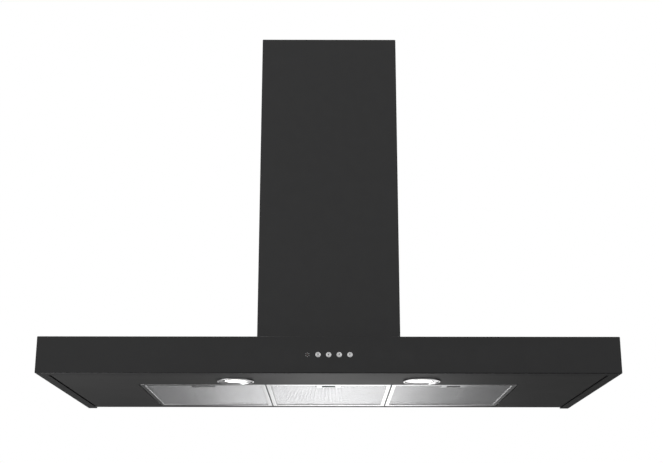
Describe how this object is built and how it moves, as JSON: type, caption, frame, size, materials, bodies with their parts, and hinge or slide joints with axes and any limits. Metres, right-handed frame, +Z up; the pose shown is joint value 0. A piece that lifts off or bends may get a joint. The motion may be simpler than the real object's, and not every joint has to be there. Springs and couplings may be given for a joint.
{
  "type": "wall-mounted range hood",
  "caption": "Flat box range hood for a wall, with a telescopic square chimney, tilting grease filters, round lamps, push buttons and a double-inlet blower.",
  "frame": {"origin": "middle of the wall rail's rear face, on the wall plane, at the canopy's mid height", "axes": "+X to the right seen from the front, +Y into the wall, +Z up; the front faces -Y"},
  "size_m": [1.1, 0.5018, 0.7965],
  "materials": {
    "canopy_paint": "satin black powder coat",
    "chimney_paint": "satin black powder coat",
    "panel_paint": "semi-gloss black enamel",
    "filter_frame": "bright anodised",
    "filter_mesh": "expanded mesh",
    "latch_plastic": "silver grey moulding",
    "spring_steel": "bright rolled",
    "chrome": "polished",
    "button_metal": "satin",
    "lamp_lens": "frosted",
    "lamp_can": "cast",
    "zinc_steel": "galvanised",
    "motor_steel": "zinc plated",
    "black_plastic": "moulded",
    "grey_plastic": "moulded",
    "white_plastic": "moulded",
    "circuit_board": "solder mask",
    "indicator": "smoked red"
  },
  "bodies": {
    "hood": {"back_plate": "zinc_steel", "blower_box": "zinc_steel", "button_collar_light": "chrome", "button_collar_speed_high": "chrome", "button_collar_speed_low": "chrome", "button_collar_speed_medium": "chrome", "button_housing": "black_plastic", "cable_gland": "black_plastic", "canopy_shell": "canopy_paint", "capacitor": "white_plastic", "chimney_lower": "chimney_paint", "control_board": "circuit_board", "cross_rail_left": "zinc_steel", "cross_rail_right": "zinc_steel", "flap_pin": "spring_steel", "indicator_lens": "indicator", "lamp_bezel_left": "chrome", "lamp_bezel_right": "chrome", "lamp_can_left": "lamp_can", "lamp_can_right": "lamp_can", "lamp_clip_left_inner": "spring_steel", "lamp_clip_left_outer": "spring_steel", "lamp_clip_right_inner": "spring_steel", "lamp_clip_right_outer": "spring_steel", "lamp_lens_left": "lamp_lens", "lamp_lens_right": "lamp_lens", "motor": "motor_steel", "motor_bracket": "zinc_steel", "outlet_ring": "black_plastic", "scroll_left": "black_plastic", "scroll_right": "black_plastic", "underside_panel": "panel_paint", "wall_rail": "zinc_steel", "wiring_box": "grey_plastic", "wiring_lid": "grey_plastic"},
    "filter_left": {"filter_frame_left": "filter_frame", "filter_mesh_left": "filter_mesh"},
    "latch_left": {"filter_latch_left": "latch_plastic", "latch_spring_left": "spring_steel"},
    "filter_middle": {"filter_frame_middle": "filter_frame", "filter_mesh_middle": "filter_mesh"},
    "latch_middle": {"filter_latch_middle": "latch_plastic", "latch_spring_middle": "spring_steel"},
    "filter_right": {"filter_frame_right": "filter_frame", "filter_mesh_right": "filter_mesh"},
    "latch_right": {"filter_latch_right": "latch_plastic", "latch_spring_right": "spring_steel"},
    "button_light": {"button_light": "button_metal", "button_spring_light": "spring_steel"},
    "button_speed_low": {"button_speed_low": "button_metal", "button_spring_speed_low": "spring_steel"},
    "button_speed_medium": {"button_speed_medium": "button_metal", "button_spring_speed_medium": "spring_steel"},
    "button_speed_high": {"button_speed_high": "button_metal", "button_spring_speed_high": "spring_steel"},
    "impeller": {"impeller": "black_plastic"},
    "flap_front": {"flap_front": "grey_plastic"},
    "flap_rear": {"flap_rear": "grey_plastic"},
    "chimney_upper": {"chimney_upper": "chimney_paint", "chimney_bracket": "zinc_steel"}
  },
  "joints": [
    {"name": "filter_left_hinge", "type": "hinge", "parent": "hood", "child": "filter_left", "pos_m": [-0.252, -0.0323, -0.033], "axis": [1, 0, 0], "range_deg": [0, 60], "deforming": ["latch_spring_left"]},
    {"name": "latch_left_slide", "type": "slide", "parent": "filter_left", "child": "latch_left", "axis": [0, 1, 0], "range_m": [0, 0.0075], "stiffness_N_per_m": 300, "springref_m": -0.004, "deforming": ["latch_spring_left"]},
    {"name": "filter_middle_hinge", "type": "hinge", "parent": "hood", "child": "filter_middle", "pos_m": [0, -0.0323, -0.033], "axis": [1, 0, 0], "range_deg": [0, 60], "deforming": ["latch_spring_middle"]},
    {"name": "latch_middle_slide", "type": "slide", "parent": "filter_middle", "child": "latch_middle", "axis": [0, 1, 0], "range_m": [0, 0.0075], "stiffness_N_per_m": 300, "springref_m": -0.004, "deforming": ["latch_spring_middle"]},
    {"name": "filter_right_hinge", "type": "hinge", "parent": "hood", "child": "filter_right", "pos_m": [0.252, -0.0323, -0.033], "axis": [1, 0, 0], "range_deg": [0, 60], "deforming": ["latch_spring_right"]},
    {"name": "latch_right_slide", "type": "slide", "parent": "filter_right", "child": "latch_right", "axis": [0, 1, 0], "range_m": [0, 0.0075], "stiffness_N_per_m": 300, "springref_m": -0.004, "deforming": ["latch_spring_right"]},
    {"name": "button_light_press", "type": "slide", "parent": "hood", "child": "button_light", "axis": [0, 1, 0], "range_m": [0, 0.002], "stiffness_N_per_m": 600, "springref_m": -0.001, "deforming": ["button_spring_light"]},
    {"name": "button_speed_low_press", "type": "slide", "parent": "hood", "child": "button_speed_low", "axis": [0, 1, 0], "range_m": [0, 0.002], "stiffness_N_per_m": 600, "springref_m": -0.001, "deforming": ["button_spring_speed_low"]},
    {"name": "button_speed_medium_press", "type": "slide", "parent": "hood", "child": "button_speed_medium", "axis": [0, 1, 0], "range_m": [0, 0.002], "stiffness_N_per_m": 600, "springref_m": -0.001, "deforming": ["button_spring_speed_medium"]},
    {"name": "button_speed_high_press", "type": "slide", "parent": "hood", "child": "button_speed_high", "axis": [0, 1, 0], "range_m": [0, 0.002], "stiffness_N_per_m": 600, "springref_m": -0.001, "deforming": ["button_spring_speed_high"]},
    {"name": "impeller_spin", "type": "hinge", "parent": "hood", "child": "impeller", "pos_m": [0, -0.1565, 0.1488], "axis": [1, 0, 0], "continuous": true},
    {"name": "flap_front_hinge", "type": "hinge", "parent": "hood", "child": "flap_front", "pos_m": [0, -0.10475, 0.3096], "axis": [-1, 0, 0], "range_deg": [0, 75]},
    {"name": "flap_rear_hinge", "type": "hinge", "parent": "hood", "child": "flap_rear", "pos_m": [0, -0.10475, 0.3096], "axis": [1, 0, 0], "range_deg": [0, 75]},
    {"name": "chimney_upper_slide", "type": "slide", "parent": "hood", "child": "chimney_upper", "axis": [0, 0, 1], "range_m": [0, 0.4]}
  ]
}
